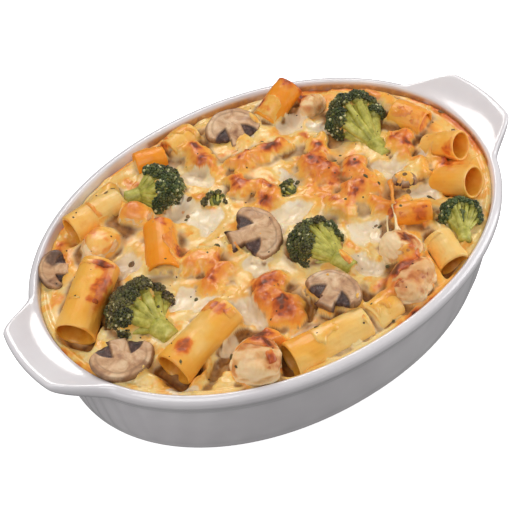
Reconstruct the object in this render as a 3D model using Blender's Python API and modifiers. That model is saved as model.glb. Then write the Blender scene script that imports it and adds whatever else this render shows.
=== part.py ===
"""Baked rigatoni with broccoli, mushrooms and chicken in an oval ceramic gratin dish.

Metres, +Z up. The origin is the middle of the dish's foot, and the dish is longest along X.
Tables are in millimetres and degrees. A level is a height above the rim's top.
"""

import math

import bmesh
import bpy
from mathutils import Matrix, Vector

MM = 0.001

# Dish: an oval with two lugs, all drawn from the rim's outer outline.
RIM_HALF_LENGTH = 140.0
RIM_HALF_WIDTH = 103.5
OVAL_POWER = 2.06
DISH_HEIGHT = 60.0
LUG_REACH = 17.3
LUG_FLAT_HALF_WIDTH = 21.0
LUG_HALF_WIDTH = 41.0
LUG_LIFT = 7.0
LUG_OFFSET = 3.0
DISH_SPOKES = 52
SPOKE_CROWDING = 0.3

# The dish's section, from the recess under the foot, up the outside and down the inside:
# inset from the outline, height, and how far out the lug reaches there.
DISH_SECTION = (
    (20.5, 1.4, 0.0),
    (19.0, 0.0, 0.0),
    (14.5, 0.0, 0.0),
    (11.0, 3.0, 0.0),
    (8.8, 12.0, 0.0),
    (4.0, 43.0, 0.0),
    (3.2, 47.0, 0.3),
    (1.6, 50.5, 0.82),
    (0.2, 53.5, 0.98),
    (0.0, 56.5, 1.0),
    (1.4, 59.3, 0.93),
    (3.4, 60.0, 0.45),
    (5.0, 58.8, 0.0),
    (6.0, 55.0, 0.0),
    (10.5, 30.0, 0.0),
    (15.0, 14.0, 0.0),
    (23.0, 8.0, 0.0),
)

# Food: it fills the dish to just under the rim, crowns in the middle and settles at the wall.
FIT_GAP = 0.5
FOOD_EDGE_LEVEL = -4.0
FOOD_CROWN = 6.5
SETTLES_FROM = 0.86
MOUND_FALLOFF = 1.6
FOOD_SPOKES = 48
FOOD_RINGS = 9
FOOD_SIDE_SECTION = ((23.5, 8.6), (15.6, 14.4), (11.1, 30.0))
FOOD_INSET = 6.6
POCKET_BLOCK = 90.0
POCKET_SIDES = [
    (x, y, z) for z in (0, -1) for x in (-1, 0, 1) for y in (-1, 0, 1) if (x, y, z) != (0, 0, 0)
]
# Mounds of melted cheese over what is buried: x, y, radius, height.
MOUNDS = (
    (-26, -38, 15, 6.0),
    (-30, -54, 11, 6.0),
    (47, 18, 16, 7.0),
    (61, 7, 10, 4.0),
    (50, -9, 18, 5.0),
    (4, 32, 10, 4.5),
    (6, 14, 11, 4.0),
    (32, 44, 13, 5.0),
    (-1, 66, 11, 4.5),
    (94, 4, 11, 4.0),
    (64, -30, 11, 5.0),
    (-46, 2, 13, 4.0),
    (-42, -13, 12, 4.0),
    (10, 83, 11, 3.5),
    (-100, 48, 11, 3.5),
    (-64, 72, 12, 3.0),
    (105, 40, 12, 3.0),
    (-78, -76, 12, 3.0),
    (90, -12, 12, 3.5),
    (50, 40, 10, 3.0),
)

# Rigatoni: name, x, y, level of the middle, heading, pitch, length, diameter.
TUBE_WALL = 1.7
TUBE_SIDES = 12
TUBES = (
    ("rigatoni_front_left", -107.5, 13.5, 1.0, 40, 7, 44, 21),
    ("rigatoni_front", -74.5, -46, 1.5, 14, 7, 44, 21),
    ("rigatoni_rim_front", -21, -83, -4.0, -4, 0, 46, 18),
    ("rigatoni_rim_short", 13, -84.5, -3.5, 7, 0, 17, 16),
    ("rigatoni_right_front", 64.5, -72.5, -3.0, 80, 10, 20, 16),
    ("rigatoni_right_open", 112, -13.5, 0.5, -66, 28, 24, 16),
    ("rigatoni_right_wide", 100, -38.5, -0.5, -66, 28, 25, 18),
    ("rigatoni_right_back", 111, 16.5, 0.5, 112, 0, 21, 17),
    ("rigatoni_back_raised", 58, 73, 2.0, 15, 24, 27, 17),
    ("rigatoni_back_left", -73, 64, 0.0, 5, 0, 34, 16),
    ("rigatoni_golden", -58, 19, 1.0, 62, 5, 32, 19),
    ("rigatoni_toasted", 65, -44, 1.0, -30, 0, 21, 14),
    ("rigatoni_back_middle", -4, 84, -1.5, 12, 0, 20, 16),
    ("rigatoni_back_orange", -26, 82, -1.0, -15, 0, 18, 15),
)

# Broccoli: name, x, y, level of the crown's middle, heading and pitch of growth, crown radius, length.
FLORET_SIDES = 12
FLORETS = (
    ("broccoli_back_left", -34, 57.5, 1.0, -12, 26, 15, 31),
    ("broccoli_front_left", -89, -9, 1.0, 80, 20, 19, 38),
    ("broccoli_centre", 10, -29, 1.5, 98, 25, 16, 36),
    ("broccoli_back_right", 85, 36, 1.5, 80, 28, 18, 38),
    ("broccoli_right", 87, -60, 0.5, 50, 22, 12, 24),
    ("broccoli_small", -16, 30, 3.0, 20, 60, 7, 15),
    ("broccoli_sprig", 23, 13, 3.0, 120, 50, 6, 16),
)
# The floret's section: share of its length, share of the crown's radius, and how lobed it is.
FLORET_SECTION = (
    (0.0, 0.26, 0.0),
    (0.22, 0.27, 0.02),
    (0.42, 0.50, 0.10),
    (0.56, 0.84, 0.14),
    (0.68, 1.0, 0.12),
    (0.84, 0.86, 0.10),
    (0.95, 0.52, 0.06),
)
CROWN_MIDDLE = 0.68

# Mushroom slices: name, x, y, level, heading of the cap, tilt to the front, width of the cap, thickness.
SLICE_THICKNESS = 4.6
CAP_ARC_STEPS = 8
CAP_ARC = 104
# Half the outline below the cap, as shares of the cap's width: along the stalk and across it.
CAP_RISE = 0.40
UNDERSIDE = ((-0.16, 0.36), (0.02, 0.28), (0.05, 0.15), (-0.22, 0.135), (-0.40, 0.165))
SLICES = (
    ("mushroom_front_left", -112.5, -29.5, 0.5, 252, 10, 30),
    ("mushroom_front", -4, -65, 6.5, 28, 6, 29),
    ("mushroom_centre", -12, -5, 4.5, -12, 12, 35),
    ("mushroom_back", 25, 72, 1.5, 75, 14, 33),
    ("mushroom_left_rim", -110, 44, -1.5, 150, 20, 18),
    ("mushroom_right", 76, -23, 3.0, 60, 10, 15),
)

# Chicken: name, x, y, level, heading, length, width, height, and which way its corners are pulled.
# The subdivision surface shrinks its cage, so the cage is drawn larger.
CHUNK_SWELL = 1.22
CHUNK_PULL = 0.22
CHUNKS = (
    ("chicken_front", -57, -74, 0.5, 35, 28, 24, 17, 1),
    ("chicken_right", 47, -59, 2.0, 70, 22, 21, 17, 2),
    ("chicken_right_front", 37, -79.5, -1.0, 10, 29, 20, 17, 3),
    ("chicken_left", -82, 42, 0.5, 20, 24, 19, 14, 4),
    ("chicken_back_left", -57, 48, 1.0, -30, 18, 15, 14, 5),
    ("chicken_back_right", 74, 60, 0.5, 20, 17, 14, 12, 6),
)

PASTA_COLOUR = (0.83, 0.52, 0.13)
COLOURS = {
    "dish": (0.86, 0.85, 0.86),
    "filling": (0.88, 0.76, 0.55),
    "rigatoni": PASTA_COLOUR,
    "broccoli": (0.10, 0.17, 0.04),
    "mushroom": (0.52, 0.38, 0.30),
    "chicken": (0.82, 0.62, 0.44),
}
ROUGHNESS = {
    "dish": 0.12,
    "filling": 0.38,
    "rigatoni": 0.35,
    "broccoli": 0.6,
    "mushroom": 0.45,
    "chicken": 0.5,
}


def material(kind):
    """The one material that every piece of a kind shares."""
    made = bpy.data.materials.get(kind)
    if made is None:
        made = bpy.data.materials.new(kind)
        made.use_nodes = True
        shader = made.node_tree.nodes["Principled BSDF"]
        shader.inputs["Base Color"].default_value = (*COLOURS[kind], 1.0)
        shader.inputs["Roughness"].default_value = ROUGHNESS[kind]
        shader.inputs["Metallic"].default_value = 0.0
    return made


def new_collection(name):
    made = bpy.data.collections.new(name)
    bpy.context.scene.collection.children.link(made)
    return made


def add_object(name, data, kind, collection):
    made = bpy.data.objects.new(name, data)
    if kind:
        data.materials.append(material(kind))
    collection.objects.link(made)
    return made


def mesh_from(name, bm):
    bmesh.ops.recalc_face_normals(bm, faces=bm.faces)
    mesh = bpy.data.meshes.new(name)
    bm.to_mesh(mesh)
    bm.free()
    mesh.shade_smooth()
    mesh.set_sharp_from_angle(angle=math.radians(40))
    return mesh


def loft(name, rings):
    """A closed mesh through rings of equal count, with its first and last ring filled."""
    bm = bmesh.new()
    rows = [[bm.verts.new(point) for point in ring] for ring in rings]
    for low, high in zip(rows, rows[1:]):
        for i in range(len(low)):
            bm.faces.new((low[i - 1], low[i], high[i], high[i - 1]))
    bm.faces.new(rows[0])
    bm.faces.new(rows[-1])
    return mesh_from(name, bm)


def placed(x, y, level, heading, pitch):
    """Local +X turned to the heading and lifted by the pitch, at a point above or below the rim."""
    turn = Matrix.Rotation(math.radians(heading), 4, "Z")
    lift = Matrix.Rotation(-math.radians(pitch), 4, "Y")
    return Matrix.Translation(Vector((x, y, DISH_HEIGHT + level)) * MM) @ turn @ lift


def smoothstep(low, high, value):
    share = min(max((value - low) / (high - low), 0.0), 1.0)
    return share * share * (3 - 2 * share)


def oval_point(half_length, half_width, angle):
    c, s = math.cos(angle), math.sin(angle)
    power = 2 / OVAL_POWER
    x = math.copysign(abs(c) ** power, c) * half_length
    y = math.copysign(abs(s) ** power, s) * half_width
    return x, y


def lug_share(x, y):
    """1 across the lug's flat end, falling to 0 where it flows into the rim.

    Each lug sits slightly round from the long axis, anticlockwise seen from above.
    """
    off_middle = abs(y - math.copysign(LUG_OFFSET, x))
    return 1 - smoothstep(LUG_FLAT_HALF_WIDTH, LUG_HALF_WIDTH, off_middle)


def dish_ring(inset, height, lug):
    ring = []
    for i in range(DISH_SPOKES):
        turn = 2 * math.pi * i / DISH_SPOKES
        angle = turn - SPOKE_CROWDING * math.sin(2 * turn)
        x, y = oval_point(RIM_HALF_LENGTH - inset, RIM_HALF_WIDTH - inset, angle)
        share = lug_share(x, y)
        lift = LUG_LIFT * lug**2 * share
        x += math.copysign(LUG_REACH * lug * share, x)
        ring.append(Vector((x, y, height + lift)) * MM)
    return ring


def make_dish(collection):
    rings = [dish_ring(*row) for row in DISH_SECTION]
    return add_object("dish", loft("dish", rings), "dish", collection)


def food_level(x, y, share):
    """Height of the baked surface, for a point at this share of the way out to the wall."""
    height = DISH_HEIGHT + FOOD_EDGE_LEVEL + FOOD_CROWN * (1 - share**3)
    settle = 1 - smoothstep(SETTLES_FROM, 1.0, share)
    for mound_x, mound_y, radius, rise in MOUNDS:
        away = ((x - mound_x) ** 2 + (y - mound_y) ** 2) / radius**2
        height += rise * settle * math.exp(-MOUND_FALLOFF * away)
    return height


def food_ring(inset, share=1.0, height=None):
    ring = []
    for i in range(FOOD_SPOKES):
        angle = 2 * math.pi * i / FOOD_SPOKES
        x, y = oval_point(
            (RIM_HALF_LENGTH - inset) * share, (RIM_HALF_WIDTH - inset) * share, angle
        )
        z = food_level(x, y, share) if height is None else height
        ring.append(Vector((x, y, z)) * MM)
    return ring


def make_filling(collection):
    """Sauce, buried pasta and melted cheese as one solid, from the dish's floor to the surface."""
    rings = [food_ring(inset, height=height) for inset, height in FOOD_SIDE_SECTION]
    shares = [1 - i / (FOOD_RINGS + 0.5) for i in range(FOOD_RINGS + 1)]
    rings += [food_ring(FOOD_INSET, share) for share in shares]
    return add_object("filling", loft("filling", rings), "filling", collection)


def make_tube(name, x, y, level, heading, pitch, length, diameter, collection):
    """A rigatoni: an open cylinder thickened inwards."""
    bm = bmesh.new()
    radius = diameter / 2 * MM
    bmesh.ops.create_cone(
        bm,
        cap_ends=False,
        segments=TUBE_SIDES,
        radius1=radius,
        radius2=radius,
        depth=length * MM,
        matrix=Matrix.Rotation(math.pi / 2, 4, "Y"),
    )
    tube = add_object(name, mesh_from(name, bm), "rigatoni", collection)
    wall = tube.modifiers.new("wall", "SOLIDIFY")
    wall.thickness = TUBE_WALL * MM
    wall.offset = -1
    tube.matrix_world = placed(x, y, level, heading, pitch)
    return tube


def floret_ring(along, radius, lobes, phase):
    ring = []
    for i in range(FLORET_SIDES):
        angle = 2 * math.pi * i / FLORET_SIDES
        swell = 1 + lobes * (math.cos(5 * angle + phase) + 0.6 * math.cos(3 * angle - phase))
        across = radius * swell
        ring.append(Vector((along, across * math.cos(angle), across * math.sin(angle))) * MM)
    return ring


def make_floret(name, x, y, level, heading, pitch, radius, length, collection):
    """A stalk that flares into a lobed crown, grown along local +X."""
    rings = [
        floret_ring((share - CROWN_MIDDLE) * length, radius * width, lobes, x + y)
        for share, width, lobes in FLORET_SECTION
    ]
    floret = add_object(name, loft(name, rings), "broccoli", collection)
    floret.matrix_world = placed(x, y, level, heading, pitch)
    return floret


def slice_outline(width):
    """Half of a sliced cap and stalk, then its mirror: the cap's crown points along +X."""
    arc = [
        (CAP_RISE * math.cos(angle), 0.5 * math.sin(angle))
        for angle in (math.radians(CAP_ARC) * i / CAP_ARC_STEPS for i in range(CAP_ARC_STEPS + 1))
    ]
    upper = [(along * width, across * width) for along, across in (*arc, *UNDERSIDE)]
    return upper + [(along, -across) for along, across in reversed(upper[1:])]


def make_slice(name, x, y, level, heading, tilt, width, collection):
    """A mushroom slice, cut face up and tipped towards the front of the dish."""
    curve = bpy.data.curves.new(name, "CURVE")
    curve.dimensions = "2D"
    curve.fill_mode = "BOTH"
    curve.extrude = SLICE_THICKNESS / 2 * MM
    outline = slice_outline(width)
    spline = curve.splines.new("POLY")
    spline.points.add(len(outline) - 1)
    for point, (px, py) in zip(spline.points, outline):
        point.co = (px * MM, py * MM, 0, 1)
    spline.use_cyclic_u = True
    mushroom = add_object(name, curve, "mushroom", collection)
    tip = Matrix.Rotation(math.radians(tilt), 4, "X")
    flat = placed(x, y, level, heading, 0)
    spot = Matrix.Translation(flat.translation)
    mushroom.matrix_world = spot @ tip @ spot.inverted() @ flat
    return mushroom


def make_chunk(name, x, y, level, heading, length, width, height, pull, collection):
    """A torn piece of chicken: a cage with uneven corners under a subdivision surface."""
    bm = bmesh.new()
    bmesh.ops.create_cube(bm, size=1.0)
    size = Vector((length, width, height)) * MM * CHUNK_SWELL
    for i, corner in enumerate(bm.verts):
        uneven = Vector(math.sin(pull * 7 + i * 2.3 + k * 1.9) for k in range(3)) * CHUNK_PULL
        corner.co = Vector(a * (b + c) for a, b, c in zip(size, corner.co, uneven))
    chunk = add_object(name, mesh_from(name, bm), "chicken", collection)
    soft = chunk.modifiers.new("soft", "SUBSURF")
    soft.levels = 2
    soft.render_levels = 2
    chunk.matrix_world = placed(x, y, level, heading, 0)
    return chunk


def world_points(piece):
    evaluated = piece.evaluated_get(bpy.context.evaluated_depsgraph_get())
    points = [evaluated.matrix_world @ v.co for v in evaluated.to_mesh().vertices]
    evaluated.to_mesh_clear()
    return points


def trim(bm, point, normal):
    """Cuts away what lies beyond a plane and closes the cut."""
    parts = bm.verts[:] + bm.edges[:] + bm.faces[:]
    cut = bmesh.ops.bisect_plane(bm, geom=parts, plane_co=point, plane_no=normal, clear_outer=True)
    edges = [part for part in cut["geom_cut"] if isinstance(part, bmesh.types.BMEdge)]
    if edges:
        bmesh.ops.holes_fill(bm, edges=edges)


def pocket_for(piece, collection):
    """A block trimmed by planes that just clear the piece, and open upwards."""
    points = world_points(piece)
    heading = Matrix.Rotation(piece.matrix_world.to_euler("XYZ").z, 3, "Z")
    bm = bmesh.new()
    middle = Matrix.Translation(piece.matrix_world.translation)
    bmesh.ops.create_cube(bm, size=POCKET_BLOCK * MM, matrix=middle)
    for step in POCKET_SIDES:
        normal = (heading @ Vector(step)).normalized()
        reach = max(point.dot(normal) for point in points) + FIT_GAP * MM
        trim(bm, normal * reach, normal)
    cutter = add_object(piece.name + "_pocket", mesh_from(piece.name, bm), None, collection)
    cutter.hide_render = True
    cutter.display_type = "WIRE"
    return cutter


def sink(filling, pieces, collection):
    """Cuts a pocket into the filling for each piece that lies in it."""
    for piece in pieces:
        cut = filling.modifiers.new(piece.name, "BOOLEAN")
        cut.operation = "DIFFERENCE"
        cut.object = pocket_for(piece, collection)


def build():
    for old in list(bpy.data.objects):
        bpy.data.objects.remove(old)
    pieces = new_collection("baked_pasta")
    cutters = new_collection("pockets")
    make_dish(pieces)
    filling = make_filling(pieces)
    toppings = [make_tube(*row, pieces) for row in TUBES]
    toppings += [make_floret(*row, pieces) for row in FLORETS]
    toppings += [make_slice(*row, pieces) for row in SLICES]
    toppings += [make_chunk(*row, pieces) for row in CHUNKS]
    bpy.context.view_layer.update()
    sink(filling, toppings, cutters)


build()
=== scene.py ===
"""Looks for the baked rigatoni with broccoli, mushrooms and chicken in an oval gratin dish.

Tables are in millimetres and degrees, in the frame's axes. A level is a height above the rim's
top. Meshes are made in metres. Everything random is seeded.
"""

import math

import bmesh
import bpy
import numpy as np
from mathutils import Matrix, Vector
from mathutils.bvhtree import BVHTree


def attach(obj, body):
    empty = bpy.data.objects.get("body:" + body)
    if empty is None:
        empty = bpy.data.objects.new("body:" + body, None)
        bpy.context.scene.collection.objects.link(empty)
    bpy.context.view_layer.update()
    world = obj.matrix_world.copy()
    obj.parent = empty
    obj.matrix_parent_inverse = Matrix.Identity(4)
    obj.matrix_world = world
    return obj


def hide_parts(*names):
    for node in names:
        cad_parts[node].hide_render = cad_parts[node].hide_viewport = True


MM = 0.001
BODY = "root"

# The dish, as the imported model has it.
RIM_HALF_LENGTH = 140.0
RIM_HALF_WIDTH = 103.5
OVAL_POWER = 2.06
DISH_HEIGHT = 60.0
LUG_REACH = 17.3
LUG_FLAT_HALF_WIDTH = 21.0
LUG_HALF_WIDTH = 41.0
LUG_LIFT = 7.0
LUG_OFFSET = 3.0
WALL_INSET = 6.0

# The camera: where it stands, what it looks at, and how it is turned about its own axis.
CAMERA_PLACE = (-278.6, -457.5, 649.8)
CAMERA_HEADING = -30.39
CAMERA_ELEVATION = 48.99
CAMERA_ROLL = -5.66
CAMERA_FIELD = 20.0


# ---- small helpers


def colour(red, green, blue):
    """A colour given as a screen shows it, 0 to 255, in the linear values that Blender uses."""
    shares = (red / 255, green / 255, blue / 255)
    linear = [s / 12.92 if s <= 0.04045 else ((s + 0.055) / 1.055) ** 2.4 for s in shares]
    return (*linear, 1.0)


def smoothstep(low, high, value):
    share = np.clip((value - low) / (high - low), 0.0, 1.0)
    return share * share * (3 - 2 * share)


def smooth_max(a, b, blend):
    """The larger of two heights, rounded where they meet."""
    overlap = np.clip(0.5 + 0.5 * (a - b) / blend, 0.0, 1.0)
    return b + (a - b) * overlap + blend * overlap * (1 - overlap)


def unit(vectors):
    """One vector, or each row of many, scaled to length one."""
    if vectors.ndim == 1:
        return vectors / np.linalg.norm(vectors)
    return vectors / np.linalg.norm(vectors, axis=1)[:, None]


def middle_of(points):
    return (points.min(0) + points.max(0)) / 2


class Noise:
    """Smooth seeded noise in space, from -1 to 1."""

    SIDE = 32

    def __init__(self, seed):
        self.lattice = np.random.default_rng(seed).uniform(-1, 1, (self.SIDE,) * 3)

    def single(self, points, size):
        scaled = np.asarray(points, float) / size + 1000.0
        cell = np.floor(scaled).astype(int)
        part = scaled - cell
        part = part * part * (3 - 2 * part)
        total = 0.0
        for dx in (0, 1):
            for dy in (0, 1):
                for dz in (0, 1):
                    corner = (cell + (dx, dy, dz)) % self.SIDE
                    value = self.lattice[corner[:, 0], corner[:, 1], corner[:, 2]]
                    wx = part[:, 0] if dx else 1 - part[:, 0]
                    wy = part[:, 1] if dy else 1 - part[:, 1]
                    wz = part[:, 2] if dz else 1 - part[:, 2]
                    total = total + value * wx * wy * wz
        return total

    def __call__(self, points, size, octaves=3):
        total, weight = 0.0, 1.0
        for _ in range(octaves):
            total = total + weight * self.single(points, size)
            size, weight = size / 2.03, weight * 0.5
        return total


NOISE = Noise(7)
SPOT_NOISE = Noise(11)
GRAIN_NOISE = Noise(23)


def add_object(name, data):
    made = bpy.data.objects.new(name, data)
    bpy.context.scene.collection.objects.link(made)
    return made


def add_mesh(name, points, faces, material, replaced=()):
    """Makes a smooth piece from points in millimetres, and seats it in the frame."""
    mesh = bpy.data.meshes.new(name)
    mesh.from_pydata((np.asarray(points) * MM).tolist(), [], faces)
    mesh.shade_smooth()
    mesh.materials.append(material)
    piece = add_object(name, mesh)
    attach(piece, BODY)
    if replaced:
        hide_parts(*replaced)
    return piece


def set_mask(piece, name, values):
    """A number for each point of the piece, which its material reads."""
    made = piece.data.attributes.new(name, "FLOAT", "POINT")
    made.data.foreach_set("value", np.asarray(values, np.float32))


def grid_faces(rows, columns, close_rows=False):
    """Quads of a grid whose rows are loops, with the last row joined to the first if asked."""
    faces = []
    for r in range(rows if close_rows else rows - 1):
        low, high = r * columns, ((r + 1) % rows) * columns
        for c in range(columns):
            d = (c + 1) % columns
            faces.append((low + c, low + d, high + d, high + c))
    return faces


def capped_faces(rows, columns):
    """The grid's quads, with one face over its first row and one over its last."""
    last = (rows - 1) * columns
    return grid_faces(rows, columns) + [tuple(range(columns))[::-1], tuple(range(last, last + columns))]


def ray_tree(pieces):
    """The faces of the pieces, joined for casting rays at them."""
    points, faces = [], []
    for piece in pieces:
        start = len(points)
        points += [v.co.copy() for v in piece.data.vertices]
        faces += [[i + start for i in face.vertices] for face in piece.data.polygons]
    return BVHTree.FromPolygons(points, faces)


# ---- materials


class Shader:
    """A small builder for a node material around one Principled shader."""

    def __init__(self, name, **sockets):
        self.material = bpy.data.materials.new(name)
        self.material.use_nodes = True
        self.tree = self.material.node_tree
        self.surface = self.tree.nodes["Principled BSDF"]
        self.place = self.node("TexCoord").outputs["Object"]
        self.set(**sockets)

    def join(self, socket, value):
        """Gives a socket a value, or links it to another node's output."""
        if isinstance(value, bpy.types.NodeSocket):
            self.tree.links.new(value, socket)
        else:
            socket.default_value = value

    def set(self, node=None, **sockets):
        """Joins sockets of a node, or of the Principled shader, named with _ for their spaces."""
        for name, value in sockets.items():
            self.join((node or self.surface).inputs[name.replace("_", " ")], value)

    def node(self, kind, **sockets):
        made = self.tree.nodes.new("ShaderNode" + kind)
        self.set(made, **sockets)
        return made

    def soften(self, weight, *reach_mm):
        """Lets light into the surface, this far for red, green and blue."""
        radius = [reach * MM for reach in reach_mm]
        self.set(Subsurface_Weight=weight, Subsurface_Radius=radius, Subsurface_Scale=1.0)

    def mask(self, name):
        node = self.node("Attribute")
        node.attribute_name = name
        return node.outputs["Fac"]

    def noise(self, size_mm, detail, roughness=0.6, distortion=0.0):
        node = self.node("TexNoise", Vector=self.place, Scale=1.0 / (size_mm * MM), Detail=detail)
        self.set(node, Roughness=roughness, Distortion=distortion)
        return node.outputs["Fac"]

    def math(self, operation, first, second, clamp=False):
        node = self.node("Math")
        node.operation = operation
        node.use_clamp = clamp
        self.join(node.inputs[0], first)
        self.join(node.inputs[1], second)
        return node.outputs[0]

    def vary(self, value, noise, amount):
        """value plus noise about its middle."""
        centred = self.math("SUBTRACT", noise, 0.5)
        return self.math("ADD", value, self.math("MULTIPLY", centred, amount), clamp=True)

    def broken(self, name, noise, amount):
        """A mask broken up by noise, and nothing where the mask is nothing."""
        return self.math("MULTIPLY", self.vary(self.mask(name), noise, amount), self.mask(name), clamp=True)

    def toast(self):
        """How brown cheese or pasta is baked, broken up by fine noise."""
        return self.vary(self.mask("toast"), self.noise(2.6, 6, 0.65, 0.5), 0.34)

    def ramp(self, factor, stops):
        node = self.node("ValToRGB", Fac=factor)
        elements = node.color_ramp.elements
        while len(elements) < len(stops):
            elements.new(0.5)
        for element, (position, *shade) in zip(elements, stops):
            element.position = position
            element.color = colour(*shade)
        return node.outputs["Color"]

    def mix(self, factor, first, second):
        node = self.node("Mix")
        node.data_type = "RGBA"
        for index, value in ((0, factor), (6, first), (7, second)):
            self.join(node.inputs[index], value)
        return node.outputs[2]

    def bump(self, height, depth_mm, strength):
        node = self.node("Bump", Strength=strength, Distance=depth_mm * MM, Height=height)
        self.set(Normal=node.outputs["Normal"])


# Browning: how brown, and the colour there as a screen shows it.
TOAST_RAMP = (
    (0.0, 250, 228, 174),
    (0.16, 252, 214, 134),
    (0.32, 252, 186, 80),
    (0.48, 244, 154, 60),
    (0.64, 222, 118, 46),
    (0.80, 184, 82, 28),
    (1.0, 116, 54, 18),
)
# Bare pasta browns more slowly than cheese.
PASTA_TOAST_RAMP = (
    (0.0, 255, 200, 110),
    (0.35, 250, 178, 76),
    (0.55, 240, 142, 40),
    (0.75, 220, 106, 24),
    (1.0, 170, 78, 18),
)


def glaze_material():
    shader = Shader("white_glaze", Roughness=0.16, Coat_Weight=0.4, Coat_Roughness=0.06, IOR=1.5)
    white = shader.ramp(shader.noise(34, 3), ((0.35, 233, 228, 231), (0.65, 239, 235, 237)))
    stain_noise = shader.noise(4.5, 6, 0.65, 0.6)
    stain = shader.broken("stain", stain_noise, 0.7)
    stained = shader.ramp(stain_noise, ((0.3, 158, 96, 40), (0.55, 208, 152, 92), (0.75, 232, 196, 150)))
    shader.set(Base_Color=shader.mix(stain, white, stained))
    shader.bump(shader.noise(9, 2), 0.05, 0.5)
    return shader.material


def cheese_material():
    shader = Shader("baked_cheese", Coat_Weight=0.1, Coat_Roughness=0.3)
    shader.soften(0.25, 3, 1.6, 0.8)
    toast = shader.toast()
    baked = shader.ramp(toast, TOAST_RAMP)
    pools = shader.ramp(shader.noise(7, 5), ((0.3, 250, 224, 176), (0.7, 255, 236, 208)))
    cream = shader.broken("cream", shader.noise(4, 4), 0.3)
    covered = shader.mix(cream, baked, pools)
    # Where the deep mask stands the colour is a dark baked juice, partly the juice itself and partly painted
    # shade in crevices.
    juice_and_shade = shader.ramp(shader.noise(4, 4), ((0.3, 104, 58, 14), (0.7, 176, 116, 42)))
    shader.set(Base_Color=shader.mix(shader.mask("deep"), covered, juice_and_shade))
    dull = shader.math("MULTIPLY", shader.noise(5, 3), 0.5)
    dull = shader.math("ADD", dull, shader.math("MULTIPLY", shader.mask("deep"), 0.4))
    shader.set(Roughness=shader.math("ADD", dull, shader.math("MULTIPLY", toast, 0.25)))
    shader.bump(shader.noise(1.8, 5), 0.16, 0.6)
    return shader.material


def pasta_material():
    shader = Shader("rigatoni", Roughness=0.42, Coat_Weight=0.12, Coat_Roughness=0.25)
    shader.soften(0.3, 3, 1.8, 0.9)
    tone = shader.vary(shader.mask("tone"), shader.noise(6, 5, 0.6, 0.4), 0.35)
    bare = shader.ramp(tone, ((0.0, 255, 214, 136), (0.5, 255, 184, 72), (1.0, 255, 152, 20)))
    toast = shader.toast()
    baked = shader.ramp(toast, PASTA_TOAST_RAMP)
    cover = shader.math("MULTIPLY", shader.math("SUBTRACT", toast, 0.28), 3.0, clamp=True)
    skin = shader.mix(cover, bare, baked)
    bore = shader.ramp(shader.noise(5, 4), ((0.3, 226, 146, 30), (0.7, 246, 180, 66)))
    shader.set(Base_Color=shader.mix(shader.mask("inside"), skin, bore))
    shader.bump(shader.noise(1.2, 5), 0.25, 0.5)
    return shader.material


def broccoli_material():
    shader = Shader("broccoli", Roughness=0.5, Coat_Weight=0.15, Coat_Roughness=0.3)
    shader.soften(0.15, 1, 2, 0.4)
    stops = ((0.3, 138, 134, 38), (0.55, 198, 190, 84), (0.8, 232, 224, 150))
    stalk = shader.ramp(shader.noise(5, 5), stops)
    green = ((0.0, 30, 44, 12), (0.45, 66, 84, 34), (0.8, 116, 124, 58), (1.0, 206, 202, 150))
    olive = ((0.0, 50, 36, 18), (0.45, 96, 78, 42), (0.8, 134, 118, 66), (1.0, 214, 200, 150))
    tone = shader.vary(shader.mask("shade"), shader.noise(2.5, 3), 0.25)
    bud = shader.mix(shader.mask("brown"), shader.ramp(tone, green), shader.ramp(tone, olive))
    # The bud colour also stands as painted shade on each floret's inner core.
    shader.set(Base_Color=shader.mix(shader.mask("bud"), stalk, bud))
    shader.bump(shader.noise(0.9, 4), 0.3, 0.6)
    return shader.material


def mushroom_material():
    shader = Shader("mushroom", Roughness=0.45, Coat_Weight=0.15, Coat_Roughness=0.25)
    shader.soften(0.3, 2, 1.2, 0.8)
    tans = ((0.28, 160, 112, 80), (0.45, 204, 158, 116), (0.6, 232, 194, 152), (0.78, 246, 218, 180))
    face = shader.ramp(shader.noise(9, 5, 0.6, 0.8), tans)
    edge = shader.ramp(shader.noise(4, 4), ((0.3, 92, 56, 34), (0.7, 160, 116, 76)))
    gills = shader.ramp(shader.noise(2.2, 5), ((0.3, 36, 18, 12), (0.55, 84, 54, 44), (0.75, 136, 104, 92)))
    body = shader.mix(shader.mask("edge"), face, edge)
    shader.set(Base_Color=shader.mix(shader.mask("gill"), body, gills))
    shader.bump(shader.noise(1.0, 4), 0.25, 0.5)
    return shader.material


def chicken_material():
    shader = Shader("chicken", Roughness=0.52, Coat_Weight=0.06, Coat_Roughness=0.3)
    shader.soften(0.3, 4, 2, 1.2)
    toast = shader.vary(shader.mask("toast"), shader.noise(4, 6, 0.6, 0.6), 0.3)
    ramp = (
        (0.0, 255, 228, 184),
        (0.25, 250, 212, 160),
        (0.42, 234, 182, 120),
        (0.58, 216, 142, 78),
        (0.74, 184, 98, 44),
        (0.92, 118, 56, 20),
    )
    shader.set(Base_Color=shader.ramp(toast, ramp))
    shader.bump(shader.noise(1.4, 5), 0.35, 0.6)
    return shader.material


def plain_material(name, dark, light, size_mm, roughness):
    shader = Shader(name, Roughness=roughness)
    shader.set(Base_Color=shader.ramp(shader.noise(size_mm, 3), ((0.3, *dark), (0.7, *light))))
    shader.bump(shader.noise(size_mm / 2, 3), 0.1, 0.5)
    return shader.material


# ---- where it is toasted

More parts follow.
